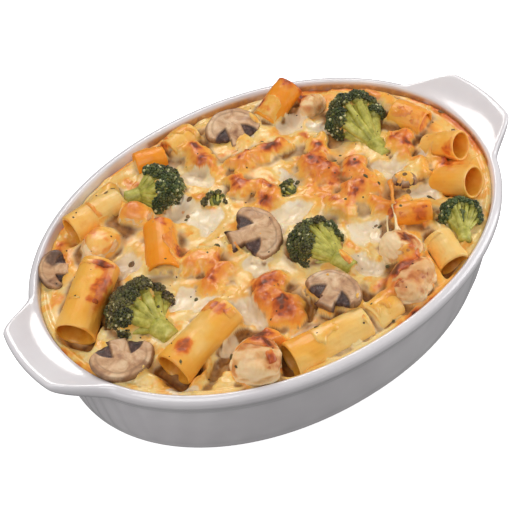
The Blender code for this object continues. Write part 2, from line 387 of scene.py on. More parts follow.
# Toasted spots: x, y, half-length, half-width, heading, how brown.
TOASTED = (
    (-27, -38, 13, 10, 40, 0.66),
    (-29, -57, 11, 8, 60, 0.76),
    (-52, -65, 9, 8, 60, 0.84),
    (-50, -74, 5, 6, 0, 0.80),
    (-56, -83, 8, 5, 0, 0.70),
    (3, 33, 6, 9, 100, 0.68),
    (6, 12, 5, 8, 0, 0.64),
    (13, 23, 7, 4, 120, 0.64),
    (-1, 70, 4, 9, 0, 0.64),
    (-5, 60, 5, 5, 0, 0.62),
    (14, 47, 5, 4, 0, 0.62),
    (34, 45, 7, 5, -20, 0.70),
    (28, 43, 5, 4, 0, 0.62),
    (46, 18, 9, 13, 0, 0.68),
    (54, 28, 6, 5, 40, 0.66),
    (48, 2, 10, 6, 0, 0.66),
    (60, 5, 8, 6, 30, 0.70),
    (66, 12, 6, 4, 30, 0.60),
    (50, -14, 13, 6, 40, 0.64),
    (37, -12, 4, 6, 0, 0.62),
    (54, 42, 3, 5, 20, 0.60),
    (97, -1, 6, 5, 0, 0.70),
    (94, 8, 7, 4, 0, 0.56),
    (106, -22, 6, 6, 0, 0.72),
    (110, -31, 4, 4, 0, 0.66),
    (58, -36, 4, 12, -35, 0.62),
    (66, -50, 8, 6, 0, 0.60),
    (-49, 29, 4, 8, 10, 0.66),
    (-52, 9, 5, 6, 0, 0.66),
    (-48, -15, 7, 4, 50, 0.70),
    (-38, -7, 4, 5, 0, 0.66),
    (-99, 10, 18, 5.5, 40, 0.80),
    (-92, 21, 5, 5, 40, 0.74),
    (-88, -51, 6, 6, 0, 0.84),
    (-60, -43, 6, 6, 0, 0.78),
    (34, -74, 18, 6, -4, 0.86),
    (34, -84, 15, 9, 0, 0.60),
    (28, -96, 10, 3, 0, 0.70),
    (47, -61, 11, 4.5, -80, 0.84),
    (70, 78, 8, 9, 0, 1.0),
    (49, 77, 4, 5, 0, 0.60),
    (75, 67, 6, 5, 0, 0.90),
    (-15, 84, 4, 4, 0, 0.9),
    (-88, 74, 8, 4, 20, 0.66),
    (-104, 55, 5, 8, -30, 0.72),
    (-96, 60, 5, 5, 0, 0.66),
)

# Wider golden areas, where cheese has coloured without browning.
GOLDEN = (
    (-30, -48, 22, 24, 20, 0.46),
    (-46, -12, 20, 15, 10, 0.44),
    (48, 4, 26, 30, 0, 0.50),
    (60, -24, 16, 14, 30, 0.42),
    (14, 42, 26, 12, -5, 0.40),
    (-3, 66, 11, 15, 0, 0.42),
    (96, 4, 18, 14, 0, 0.42),
    (112, 10, 16, 24, 0, 0.45),
    (106, -32, 18, 18, 0, 0.46),
    (62, -46, 18, 12, 0, 0.46),
    (-56, 22, 14, 20, 0, 0.40),
    (-57, 50, 10, 12, 0, 0.42),
    (-76, 62, 20, 10, 15, 0.34),
    (-105, 48, 12, 16, -30, 0.40),
    (34, -82, 20, 16, 8, 0.52),
    (6, 16, 14, 16, 0, 0.42),
    (-54, -72, 18, 14, 20, 0.44),
    (84, 60, 14, 10, -40, 0.38),
    (20, 84, 30, 8, 0, 0.36),
    (-95, -58, 16, 8, 0, 0.30),
)


def along_across(x, y, row):
    """Places in a row's own axes: along its heading from its middle, and across it."""
    turn, off_x, off_y = math.radians(row[4]), x - row[0], y - row[1]
    return off_x * math.cos(turn) + off_y * math.sin(turn), off_y * math.cos(turn) - off_x * math.sin(turn)


def ellipse_distance(x, y, row):
    """Squared distance from a row's middle, in shares of its half-lengths."""
    along, across = along_across(x, y, row)
    return (along / row[2]) ** 2 + (across / row[3]) ** 2


def toast_at(points):
    """How brown each point is baked, 0 to 1, with soft ragged edges to the spots."""
    x = points[:, 0] + 2.2 * SPOT_NOISE(points, 7.0, 3)
    y = points[:, 1] + 2.2 * SPOT_NOISE(points + 41.0, 7.0, 3)
    patchy = 1 + 0.3 * SPOT_NOISE(points + 83.0, 4.5, 3)
    brown = 0.14 + 0.12 * SPOT_NOISE(points, 20.0, 3)
    brown += 0.2 * smoothstep(0.2, 0.6, SPOT_NOISE(points + 19.0, 6.5, 3))
    for row in GOLDEN:
        brown = np.maximum(brown, row[5] * np.exp(-0.7 * ellipse_distance(x, y, row)) * (0.6 + 0.4 * patchy))
    for row in TOASTED:
        brown = np.maximum(brown, row[5] * 1.08 * np.exp(-0.9 * ellipse_distance(x, y, row)) * patchy)
    flecks = smoothstep(0.25, 0.6, SPOT_NOISE(points + 57.0, 2.8, 2))
    return brown * (1 + 0.35 * flecks * smoothstep(0.3, 0.5, brown))


# ---- the dish


# The dish's section: inset from the outline, height, and how far out the lug reaches there.
DISH_PROFILE = (
    (60.0, 1.4, 0.0),
    (20.5, 1.4, 0.0),
    (19.6, 0.5, 0.0),
    (18.8, 0.0, 0.0),
    (14.5, 0.0, 0.0),
    (12.4, 0.9, 0.0),
    (10.8, 3.2, 0.0),
    (9.9, 7.0, 0.0),
    (8.8, 12.0, 0.0),
    (6.6, 25.0, 0.0),
    (4.0, 43.0, 0.0),
    (3.4, 46.0, 0.12),
    (2.6, 48.4, 0.45),
    (1.5, 50.6, 0.80),
    (0.5, 52.6, 0.94),
    (0.0, 54.6, 0.99),
    (0.0, 56.6, 1.0),
    (0.6, 58.3, 0.98),
    (1.7, 59.3, 0.92),
    (2.8, 59.8, 0.70),
    (3.8, 59.9, 0.30),
    (4.7, 59.4, 0.06),
    (5.3, 58.4, 0.0),
    (5.9, 56.0, 0.0),
    (7.2, 48.0, 0.0),
    (10.5, 30.0, 0.0),
    (15.0, 14.0, 0.0),
    (23.0, 8.0, 0.0),
    (60.0, 7.6, 0.0),
)
DISH_SPOKES = 312
DISH_STEPS = 4
FLUTES = 52
FLUTE_DEPTH = 0.35


def fine_profile(rows, steps):
    """A smooth curve through the rows of a table, with this many steps between rows."""
    rows = np.array(rows)
    ends = np.vstack([2 * rows[0] - rows[1], rows, 2 * rows[-1] - rows[-2]])
    made = []
    for before, start, stop, after in zip(ends, ends[1:], ends[2:], ends[3:]):
        for step in range(steps):
            t = step / steps
            curve = 2 * start + (stop - before) * t
            curve = curve + (2 * before - 5 * start + 4 * stop - after) * t**2
            curve = curve + (3 * start - before - 3 * stop + after) * t**3
            made.append(0.5 * curve)
    made.append(rows[-1])
    return np.clip(made, 0, None)


def lug_share(x, y):
    """How much of a lug stands at each place on the outline, 0 to 1."""
    off_middle = np.abs(y - np.copysign(LUG_OFFSET, x))
    return 1 - smoothstep(LUG_FLAT_HALF_WIDTH, LUG_HALF_WIDTH, off_middle)


def oval(half_length, half_width, angle):
    """The dish's outline, a little squarer than an ellipse."""
    c, s = np.cos(angle), np.sin(angle)
    power = 2 / OVAL_POWER
    return np.copysign(np.abs(c) ** power, c) * half_length, np.copysign(np.abs(s) ** power, s) * half_width


def make_dish():
    """The dish drawn finer: rolled rim, faint flutes on the outer wall, glaze and baked-on stains."""
    profile = fine_profile(DISH_PROFILE, DISH_STEPS)
    turn = np.arange(DISH_SPOKES) * 2 * math.pi / DISH_SPOKES
    angle = turn - 0.3 * np.sin(2 * turn)
    rows, stains = [], []
    outside = True
    for inset, height, lug in profile:
        outside = outside and height < 59.0
        flute = 0.0
        if outside:
            fade = smoothstep(6, 16, height) * (1 - smoothstep(38, 47, height))
            flute = FLUTE_DEPTH * fade * np.cos(FLUTES * turn)
        x, y = oval(RIM_HALF_LENGTH - inset + flute, RIM_HALF_WIDTH - inset + flute, angle)
        lug = min(max(lug, 0.0), 1.0)
        share = lug_share(x, y)
        lift = LUG_LIFT * lug**2 * share
        x = x + np.copysign(LUG_REACH * lug * share, x)
        rows.append(np.stack([x, y, height + lift], 1))
        inside = 0.0 if outside else smoothstep(4.9, 5.8, inset)
        film = smoothstep(-0.7, 0.2, NOISE(rows[-1], 14.0, 3) + 1.6 * np.cos(angle - 0.6) - 1.0)
        stains.append(inside * film)
    points = np.concatenate(rows)
    faces = capped_faces(len(rows), DISH_SPOKES)
    dish = add_mesh("dish_glazed", points, faces, glaze_material(), ("dish",))
    set_mask(dish, "stain", np.concatenate(stains))
    return dish


# ---- the frame's pieces


def node_points(node):
    """A CAD node's points in millimetres."""
    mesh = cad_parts[node].data
    flat = np.empty(len(mesh.vertices) * 3)
    mesh.vertices.foreach_get("co", flat)
    return flat.reshape(-1, 3) / MM


def nodes_named(start):
    return sorted(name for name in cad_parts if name.startswith(start))


class Rod:
    """A CAD tube's middle, direction, length and radius, measured on its solid."""

    def __init__(self, node):
        points = node_points(node)
        self.middle = middle_of(points)
        self.along = np.linalg.eigh(np.cov((points - self.middle).T))[1][:, -1]
        if self.along[0] < 0:
            self.along = -self.along
        self.across = unit(np.cross((0, 0, 1), self.along))
        self.up = np.cross(self.along, self.across)
        self.length = np.ptp(points @ self.along)
        offset = points - self.middle
        offset = offset - np.outer(offset @ self.along, self.along)
        self.radius = np.linalg.norm(offset, axis=1).max()


# ---- the baked surface

SURFACE_CELLS = 306
EDGE_LEVEL = -4.5
CROWN = 5.5
# Mounds over what is buried: x, y, half-length, half-width, heading, rise.
MOUNDS = (
    (-28, -41, 17, 12, 60, 7.0),
    (-32, -59, 12, 9, 20, 7.5),
    (-46, -70, 10, 7, 60, 5.0),
    (46, 16, 18, 14, 20, 8.0),
    (60, 3, 13, 10, 0, 5.0),
    (48, -14, 22, 13, -10, 6.5),
    (3, 29, 8, 13, 0, 6.0),
    (5, 10, 12, 8, 30, 4.5),
    (13, 42, 12, 8, 0, 6.0),
    (32, 41, 15, 8, -10, 6.5),
    (-3, 58, 10, 13, 0, 6.0),
    (93, 4, 12, 8, 20, 5.5),
    (62, -32, 13, 8, 0, 6.0),
    (-46, 0, 18, 10, -20, 6.0),
    (-42, -15, 15, 8, 10, 5.0),
    (8, 82, 14, 8, 10, 3.5),
    (-102, 50, 14, 8, 50, 4.5),
    (-64, 76, 14, 8, 20, 3.5),
    (107, 42, 14, 9, -50, 4.0),
    (-78, -78, 16, 8, -10, 4.5),
    (90, -14, 14, 9, 0, 4.5),
    (50, 40, 11, 8, 0, 3.5),
    (-20, 12, 13, 9, 0, 2.5),
    (20, -8, 12, 7, 0, 2.0),
    (-64, -20, 12, 8, 0, 2.0),
    (22, 86, 24, 6, 0, 2.0),
)
# Pools of pale sauce: x, y, half-length, half-width, heading, depth.
POOLS = (
    (-80, 22, 12, 8, 30, 3.0),
    (-66, -19, 11, 9, -30, 3.5),
    (-58, -27, 9, 6, 0, 2.5),
    (-44, -46, 8, 17, 0, 3.5),
    (-30, -77, 14, 6, 10, 2.5),
    (12, -4, 17, 10, 0, 3.5),
    (-22, -22, 8, 10, 0, 2.5),
    (78, -8, 11, 10, 0, 3.0),
    (38, -38, 13, 14, 20, 4.0),
    (-12, 52, 9, 11, 0, 2.5),
    (57, 55, 15, 9, 0, 3.0),
    (67, 40, 7, 9, 0, 2.0),
    (-32, 35, 15, 10, -10, 3.5),
    (22, -56, 10, 12, 30, 4.0),
    (-26, 22, 16, 9, 30, 2.5),
    (82, -34, 12, 9, 0, 3.0),
    (24, 20, 6, 12, 0, 2.5),
    (-4, -84, 8, 4, 0, 2.0),
    (-64, -60, 7, 7, 0, 2.0),
    (-98, -62, 8, 4, -30, 2.0),
    (-88, 40, 12, 9, 0, 1.5),
    (30, 66, 6, 6, 0, 2.0),
    (102, -10, 6, 5, 0, 1.5),
)
# Hollows beside pieces, where the surface is also painted darker as shade: x, y, half-length, half-width,
# heading, depth.
HOLLOWS = (
    (-88, -69, 11, 5, 14, 5.0),
    (-105, -4, 9, 11, 0, 6.0),
    (-76, -64, 9, 5, 10, 4.0),
    (-108, -52, 7, 5, -30, 5.0),
    (-114, -50, 9, 4, -35, 3.0),
    (-52, -60, 6, 6, 14, 3.0),
    (-72, -82, 8, 6, 0, 3.0),
    (-22, -62, 6, 8, 0, 3.0),
    (-52, -87, 5, 7, 0, 4.0),
    (14, -79, 6, 4, 0, 2.5),
    (64, -60, 7, 7, 0, 6.0),
    (10, -70, 7, 6, 0, 5.0),
    (-95, 8, 5, 8, -50, 4.0),
    (-65, 72, 8, 4, 0, 3.0),
    (97, -56, 6, 6, 0, 4.0),
    (48, -41, 4, 6, -30, 3.0),
    (-18, -20, 5, 5, 0, 3.0),
)
# Pasta buried in the cheese: x, y, half-length, radius, heading, crest.
BURIED = (
    (44, -13, 13, 8, 42, 6.5),
    (58, -8, 11, 7, 70, 6.0),
    (36, -13, 8, 6, 80, 5.0),
    (46, 19, 13, 9, 98, 7.5),
    (55, 29, 8, 6, 60, 6.0),
    (62, 5, 10, 7, 20, 6.5),
    (94, 3, 12, 8, 40, 6.5),
    (3, 31, 11, 7, 95, 6.5),
    (10, 17, 10, 6, 110, 5.5),
    (31, 43, 13, 7, -10, 6.5),
    (13, 46, 8, 6, 10, 6.0),
    (-3, 66, 13, 8, 100, 6.0),
    (-27, -39, 13, 10, 50, 7.0),
    (-30, -58, 11, 9, 50, 7.0),
    (-49, -70, 9, 8, 60, 6.0),
    (-46, -1, 13, 8, -20, 6.0),
    (-44, -15, 12, 8, 30, 6.0),
    (62, -32, 12, 7, -50, 5.5),
    (108, 40, 14, 8, -50, 4.0),
    (90, -16, 9, 7, 40, 4.5),
    (-62, 75, 12, 7, 18, 2.5),
)
# Rigatoni: how bare and golden, from pale with cheese to orange, and which end is open, if any.
TUBES = {
    "rigatoni_front_left": (0.42, -1),
    "rigatoni_front": (0.5, -1),
    "rigatoni_right_front": (0.38, -1),
    "rigatoni_right_open": (0.42, 1),
    "rigatoni_right_wide": (0.5, 1),
    "rigatoni_rim_front": (0.38, -1),
    "rigatoni_back_left": (0.3, -1),
    "rigatoni_rim_short": (0.35, 0),
    "rigatoni_right_back": (0.65, 0),
    "rigatoni_back_raised": (1.0, 0),
    "rigatoni_back_middle": (0.4, 0),
    "rigatoni_back_orange": (1.0, 0),
    "rigatoni_golden": (1.0, 0),
    "rigatoni_toasted": (0.8, 0),
}
# How much of each kind of piece the cheese drapes over.
DRAPED = {"rigatoni": 0.30, "broccoli": 0.0, "mushroom": 0.26, "chicken": 0.38}
DRAPED_PIECES = {
    "rigatoni_golden": 0.36,
    "rigatoni_right_back": 0.45,
    "rigatoni_toasted": 0.55,
    "rigatoni_back_left": 0.5,
    "rigatoni_rim_front": 0.5,
    "rigatoni_rim_short": 0.6,
    "rigatoni_back_raised": 0.1,
    "chicken_left": 0.95,
    "chicken_back_left": 0.85,
    "mushroom_left_rim": 0.4,
    "mushroom_front_left": 0.08,
    "broccoli_back_left": 0.05,
    "mushroom_right": 0.85,
    "rigatoni_back_middle": 0.6,
    "rigatoni_back_orange": 0.45,
}
# Cheese lying over parts of the pieces: x, y, half-length, half-width, heading.
BLANKETS = (
    (-90, 29, 12, 15, 40),
    (-53, -40, 11, 15, 14),
    (4, -84, 6, 11, 0),
    (47, 69, 11, 14, 15),
    (19, -49, 7, 8, 0),
    (21, 55, 10, 8, 0),
    (-80, 66, 7, 10, 0),
    (60, -70, 6, 8, 0),
    (98, -14, 8, 6, 20),
    (-51, -68, 8, 10, 60),
    (34, -71, 15, 7, 5),
)
# Where the top edge has baked on hard: its direction from the middle in degrees, and its half-width.
HARD_EDGES = ((10, 44), (168, 40), (95, 26), (40, 30), (-75, 14))
# How far the ragged edge rises up the wall, how far the sauce drops at the back, and the most that
# anything in the surface may stand above the rim.
CREST = 3.0
BACK_DROP = 3.5
MOST_ABOVE_RIM = 14
# Cheese at a piece: how far it lies under a bare top, how far its patches rise from there, and how
# far it climbs beside the piece.
SKIN_SUNK, SKIN_RISE, CLIMB = 3.5, 4.6, 1.2
# Reach in cells of the averages that dips and broad swells are measured against.
DIP_REACH, SWELL_REACH = 7, 18
# How deep sauce may stand in a tube's open end.
MOUTH_FLOOR = 1.4


def disc_grid(cells):
    """A square grid mapped onto the unit disc, with cells of nearly even size."""
    steps = np.linspace(-1, 1, cells + 1)
    a, b = np.meshgrid(steps, steps, indexing="ij")
    wide = np.abs(a) > np.abs(b)
    radius = np.where(wide, a, b)
    with np.errstate(divide="ignore", invalid="ignore"):
        angle = np.where(wide, math.pi / 4 * b / a, math.pi / 2 - math.pi / 4 * a / b)
    angle = np.where((a == 0) & (b == 0), 0.0, angle)
    return radius * np.cos(angle), radius * np.sin(angle)


def ellipse_falloff(x, y, row):
    return np.clip(1 - ellipse_distance(x, y, row), 0, 1) ** 1.3


def buried_crest(x, y, row):
    """The top of a buried piece of pasta, and far below it anywhere else."""
    half_length, radius, _, crest = row[2:]
    along, across = along_across(x, y, row)
    rounding = 0.7 * radius
    past = np.clip(np.abs(along) - half_length + rounding, 0, None) / rounding
    inside = 1 - (across / radius) ** 2 - past**2
    return np.where(inside > 0, crest + radius * (np.sqrt(np.clip(inside, 0, None)) - 1), -100.0)


def clear_mouths(height, x, y):
    """Keeps the sauce out of the open tube ends, so that they are hollow."""
    for node, (_, side) in TUBES.items():
        if side == 0:
            continue
        rod = Rod(node)
        out_of = side * rod.along
        reach = math.hypot(out_of[0], out_of[1])
        mouth = rod.middle + out_of * rod.length / 2
        out = ((x - mouth[0]) * out_of[0] + (y - mouth[1]) * out_of[1]) / reach
        across = ((y - mouth[1]) * out_of[0] - (x - mouth[0]) * out_of[1]) / reach
        floor = mouth[2] + out * out_of[2] / reach - rod.radius + MOUTH_FLOOR
        inside = 1 - smoothstep(0.85, 1.2, np.abs(across) / rod.radius)
        inside = inside * smoothstep(-15, -12, out) * (1 - smoothstep(2, 9, out))
        height = height * (1 - inside) + np.minimum(height, floor) * inside
    return height


def blurred(values, reach):
    """The grid of values, averaged over about this many cells each way."""
    kernel = np.exp(-0.5 * (np.arange(-2 * reach, 2 * reach + 1) / reach) ** 2)
    kernel /= kernel.sum()
    padded = np.pad(values, 2 * reach, mode="edge")
    rows = sum(w * padded[i : i + values.shape[0], :] for i, w in enumerate(kernel))
    return sum(w * rows[:, i : i + values.shape[1]] for i, w in enumerate(kernel))


def noise_at(x, y, size, octaves=3, shift=0.0, noise=NOISE):
    """Noise over the grid, whose pattern the shift changes."""
    points = np.stack([x.ravel(), y.ravel(), np.full(x.size, shift)], 1)
    return noise(points, size, octaves).reshape(x.shape)


def sunk_by(rows, x, y):
    """How deep the rows of a table sink the surface, and how near each point is to one."""
    depth, near = 0.0, np.zeros_like(x)
    for row in rows:
        falloff = ellipse_falloff(x, y, row)
        depth = np.maximum(depth, row[5] * falloff)
        near = np.maximum(near, falloff)
    return depth, near


def sauce_height(x, y, share):
    """Height of the baked surface with nothing lying in it, and where it is pool and hollow."""
    height = DISH_HEIGHT + EDGE_LEVEL + CROWN * (1 - share**3)
    settle = 1 - smoothstep(0.9, 1.0, share)
    warp_x = x + 4.0 * noise_at(x, y, 9.0, 3)
    warp_y = y + 4.0 * noise_at(x, y, 9.0, 3, 57.0)
    mound = 0.0
    for row in MOUNDS:
        mound = smooth_max(mound, row[5] * ellipse_falloff(warp_x, warp_y, row), 1.0)
    pool_depth, calm = sunk_by(POOLS, warp_x, warp_y)
    hollow_depth, dim = sunk_by(HOLLOWS, warp_x, warp_y)
    height = height + settle * (0.45 * mound - np.maximum(pool_depth, hollow_depth))
    for row in BURIED:
        crest = buried_crest(warp_x * 0.8 + x * 0.2, warp_y * 0.8 + y * 0.2, row)
        height = smooth_max(height, (DISH_HEIGHT + crest) * settle + height * (1 - settle), 6.0)
    lumps = 1.5 * noise_at(x, y, 13.0, 2, 91.0) + 0.45 * noise_at(x, y, 5.5, 2, 33.0)
    return height + settle * lumps * (1 - 0.7 * calm), calm, dim


class Cover:
    """The top of the pieces under each grid point, and how much cheese drapes over it."""

    def __init__(self, pieces, x, y):
        tree = ray_tree([piece for piece, _ in pieces])
        shares = np.repeat([share for _, share in pieces], [len(piece.data.polygons) for piece, _ in pieces])
        down = Vector((0, 0, -1))
        self.top = np.full(x.shape, np.nan)
        self.share = np.zeros(x.shape)
        for index in np.ndindex(x.shape):
            place, _, face, _ = tree.ray_cast(Vector((x[index] * MM, y[index] * MM, 0.2)), down)
            if place is not None:
                self.top[index] = place.z / MM
                self.share[index] = shares[face]


def draped_share(node):
    return DRAPED_PIECES.get(node, DRAPED[node.split("_")[0]])


def drape(height, cover, x, y):
    """Lets melted cheese climb the pieces and lie in patches over them."""
    bare = np.isnan(cover.top)
    top = np.where(bare, height - 1.0, np.maximum(cover.top, height - 1.0))
    soft_top = blurred(top, 2)
    share = np.where(bare, 0.6, cover.share)
    for row in BLANKETS:
        over = smoothstep(0.0, 0.5, 1 - ellipse_distance(x, y, row))
        share = np.maximum(share, np.where(bare, 0.0, over))
    share = blurred(share, 2)
    patches = noise_at(x, y, 9.0, 3, 17.0) + 1.5 * (2 * share - 1)
    patches = smoothstep(-0.3, 0.3, patches)
    skin = soft_top - SKIN_SUNK + SKIN_RISE * patches
    near = blurred((~bare).astype(float), 3)
    climb = CLIMB * near * (0.5 + 0.5 * noise_at(x, y, 6.0, 2, 31.0))
    return smooth_max(height + climb, skin, 1.6), np.where(bare, 0.0, patches)


def close_below(points, faces, border, angle):
    """Adds the hidden sides and the bottom, just clear of the dish."""
    skirt = [border]
    for inset, height in ((7.4, 50.0), (11.1, 30.0), (15.6, 14.4), (23.5, 8.6)):
        ring_x, ring_y = oval(RIM_HALF_LENGTH - inset, RIM_HALF_WIDTH - inset, angle)
        ring = np.stack([ring_x, ring_y, np.full(len(border), height)], 1)
        skirt.append(np.arange(len(points), len(points) + len(border)))
        points = np.concatenate([points, ring])
    for high, low in zip(skirt, skirt[1:]):
        for i in range(len(border)):
            faces.append((high[i - 1], low[i - 1], low[i], high[i]))
    faces.append(tuple(skirt[-1][::-1]))
    return points, [tuple(int(i) for i in face) for face in faces]


def seat_edge(height, x, y, edge, angle):
    """Brings the surface to the wall, in a ragged line that stands higher in front."""
    ragged = 0.5 + 0.5 * noise_at(x, y, 9.0, 3, 3.0, SPOT_NOISE)
    height = np.minimum(height, DISH_HEIGHT + MOST_ABOVE_RIM)
    behind = smoothstep(0.1, 0.6, np.sin(angle))
    edge_level = DISH_HEIGHT + EDGE_LEVEL - BACK_DROP * behind + CREST * ragged * (0.4 + 0.6 * behind)
    return height * (1 - edge) + edge * edge_level


def surface_toast(points, height, low, edge, angle):
    """How brown the surface is: more on what stands up and along the hard edges, less in dips."""
    x, y = (points[:, i].reshape(height.shape) for i in (0, 1))
    broad = height - blurred(height, SWELL_REACH)
    peak = np.clip(-low, 0, None)
    toast = toast_at(points).reshape(height.shape)
    toast = toast + 0.08 * smoothstep(0.3, 2.5, peak) - 0.10 * smoothstep(0.3, 2.0, low)
    toast = toast + 0.07 * smoothstep(0.0, 3.5, broad)
    hard = np.full_like(height, 0.15)
    for direction, half_width in HARD_EDGES:
        off = np.abs((np.degrees(angle) - direction + 180) % 360 - 180)
        hard = np.maximum(hard, 1 - smoothstep(0.4, 1.0, off / half_width))
    browned_edge = edge * hard * smoothstep(-0.4, 0.6, noise_at(x, y, 12.0, 3, 0.0, SPOT_NOISE) + 0.3)
    return np.maximum(toast, 0.78 * browned_edge)


def surface_faces():
    """Quads of the square grid, and its border's point numbers once round."""
    side = SURFACE_CELLS + 1
    index = np.arange(side * side).reshape(side, side)
    faces = np.stack([index[:-1, :-1], index[1:, :-1], index[1:, 1:], index[:-1, 1:]], -1)
    border = np.concatenate([index[:-1, 0], index[-1, :-1], index[:0:-1, -1], index[0, :0:-1]])
    return faces.reshape(-1, 4).tolist(), border


def make_surface(pieces, material):
    """Sauce and melted cheese: one closed body whose top shows between the pieces."""
    u, v = disc_grid(SURFACE_CELLS)
    share, angle = np.hypot(u, v), np.arctan2(v, u)
    rim_x, rim_y = oval(RIM_HALF_LENGTH - WALL_INSET, RIM_HALF_WIDTH - WALL_INSET, angle)
    x, y = rim_x * share, rim_y * share
    height, calm, dim = sauce_height(x, y, share)
    height, over = drape(height, Cover(pieces, x, y), x, y)
    height = clear_mouths(height, x, y)
    edge = smoothstep(0.94, 1.0, share)
    height = seat_edge(height, x, y, edge, angle)
    low = blurred(height, DIP_REACH) - height
    points = np.stack([x.ravel(), y.ravel(), height.ravel()], 1)
    toast = surface_toast(points, height, low, edge, angle)
    fine = 0.22 * noise_at(x, y, 2.6, 3, 5.0, GRAIN_NOISE) * (0.12 + smoothstep(0.35, 0.7, toast))
    points[:, 2] += (fine * (1 - edge)).ravel()
    pale = np.maximum(smoothstep(0.04, 0.35, calm), 0.6 * smoothstep(0.2, 1.6, low))
    pale = pale * (1 - smoothstep(0.40, 0.56, toast)) * (1 - 0.7 * over)
    # Painted shade: dips, and the ground beside the hollows, take the dark baked-juice colour through the
    # deep mask.
    deep = smoothstep(0.5, 2.5, low) * (1 - 0.7 * smoothstep(0.1, 0.5, calm))
    deep = np.maximum(deep, 0.85 * smoothstep(0.1, 0.6, dim) * smoothstep(-0.2, 0.8, low))
    faces, border = surface_faces()
    points, faces = close_below(points, faces, border, angle.ravel()[border])
    surface = add_mesh("baked_surface", points, faces, material, ("filling",))
    extra = np.zeros(len(points) - x.size)
    for name, values in (("toast", toast), ("cream", pale), ("deep", deep)):
        set_mask(surface, name, np.concatenate([values.ravel(), extra]))
    return surface


# ---- rigatoni

TUBE_WALL = 1.7
TUBE_ROWS = 50
TUBE_COLUMNS = 72
TUBE_RIDGES = 26
TUBE_RIDGE_RISE = 0.08
TUBE_BEND = 1.0
TUBE_FLARE = 0.7


def tube_section(length):
    """The wall's section as pairs of place along and depth, once round, with rounded lips."""
    lip, half = 0.8, length / 2
    outer = np.linspace(-half + lip, half - lip, TUBE_ROWS)
    lips = np.radians(np.linspace(-90, 90, 7)[1:-1])
    section = [(u, 0.0) for u in outer]
    section += [(half - lip + lip * math.cos(a), -TUBE_WALL / 2 * (1 + math.sin(a))) for a in lips]
    section += [(u, -TUBE_WALL) for u in outer[::-2]]
    section += [(lip - half - lip * math.cos(a), -TUBE_WALL / 2 * (1 - math.sin(a))) for a in lips]
    return np.array(section)


def make_tube(node, material):
    """A rigatoni with rounded cut ends, faint ridges, a slight bend and softened sides."""
    rod = Rod(node)
    section = tube_section(rod.length)
    around = np.arange(TUBE_COLUMNS) * 2 * math.pi / TUBE_COLUMNS
    u, phi = np.meshgrid(section[:, 0], around, indexing="ij")
    depth = np.repeat(section[:, 1], TUBE_COLUMNS).reshape(u.shape)
    share = 2 * u / rod.length
    bend = TUBE_BEND * (1 - share**2)
    golden, mouth = TUBES[node]
    flare = TUBE_FLARE * smoothstep(0.2, 1.0, share * mouth)
    squash = 1 + 0.05 * np.cos(2 * phi + len(node))
    radius = (rod.radius - 0.2 + flare) * squash + depth
    out = np.cos(phi)[..., None] * rod.across + np.sin(phi)[..., None] * rod.up
    points = rod.middle + u[..., None] * rod.along + bend[..., None] * rod.up + radius[..., None] * out
    points, out = points.reshape(-1, 3), out.reshape(-1, 3)
    upper = smoothstep(-0.1, 0.6, out[:, 2])
    skin = (depth > -0.3).ravel()
    ridge = TUBE_RIDGE_RISE * np.cos(TUBE_RIDGES * phi).ravel()
    lumps = 0.5 * upper * np.abs(NOISE(points + 5.0, 7.0, 2))
    points += out * ((ridge + lumps) * skin + 0.45 * NOISE(points + 77.0, 15.0, 2))[:, None]
    faces = grid_faces(len(section), TUBE_COLUMNS, close_rows=True)
    tube = add_mesh(node + "_baked", points, faces, material, (node,))
    ends = smoothstep(0.86, 1.0, np.abs(share)).ravel()
    crisp = 0.5 * ends * upper * smoothstep(-0.1, 0.6, NOISE(points, 7.0, 2))
    browned = toast_at(points) * (0.65 + 0.35 * upper)
    set_mask(tube, "toast", np.maximum(browned, crisp))
    sunk = 1 - smoothstep(0.0, 6.0, points[:, 2] - DISH_HEIGHT + 3)
    tone = golden + 0.3 * NOISE(points, 16.0, 2) - 0.12 * sunk
    set_mask(tube, "tone", np.clip(tone, 0, 1))
    set_mask(tube, "inside", smoothstep(0.4, 1.4, -depth.ravel()))
    return tube


# ---- broccoli

# Each floret's heading and pitch of growth as it lies on its side, its crown's radius, how brown
# its buds are, the heading its cut face looks to, how little of that face is bare, how far it has
# slipped along x and y, and how much longer its stalk is.
FLORETS = {
    "broccoli_back_left": (-24, 4, 15, 0.25, -170, 0.66, -3, 1, 0),
    "broccoli_front_left": (100, 2, 19, 0.7, -62, 0.52, -1, 0, 0),
    "broccoli_centre": (106, 4, 16, 0.45, -50, 0.48, 3, -3, 2),
    "broccoli_back_right": (84, 4, 18, 0.25, -75, 0.50, 0, 0, 9),
    "broccoli_right": (56, 2, 12, 0.05, -110, 0.22, -3, -2, 2),
    "broccoli_small": (60, 30, 7, 0.7, -110, 0.7, 0, 0, 0),
    "broccoli_sprig": (120, 30, 6, 0.3, -110, 0.6, 0, 0, 0),
}
CROWN_SHARE = 0.68
# How much of a cut face's direction is flat and how much is upward.
FACE_FLAT, FACE_RISE = 0.62, 0.78
BUD_RADIUS = 0.95
# A floret whose crown's radius is above this has more clumps and more stems.
LARGE_FLORET = 10


# A small form wholly below this height is out of sight in the sauce and is left out.
SUNK_LEVEL = 53.0


class Soup:
    """Collects many small closed forms into one mesh, with a few numbers for each point."""

    def __init__(self, *masks):
        self.points, self.faces = [], []
        self.masks = {name: [] for name in masks}
        self.count = 0

    def add(self, points, faces, **values):
        if points[:, 2].max() < SUNK_LEVEL:
            return
        self.points.append(points)
        self.faces += [tuple(i + self.count for i in face) for face in faces]
        self.count += len(points)
        for name, kept in self.masks.items():
            value = values.get(name, 0.0)
            kept.append(np.full(len(points), value) if np.isscalar(value) else value)

    def build(self, name, material, replaced=()):
        piece = add_mesh(name, np.concatenate(self.points), self.faces, material, replaced)
        for mask, kept in self.masks.items():
            set_mask(piece, mask, np.concatenate(kept))
        return piece


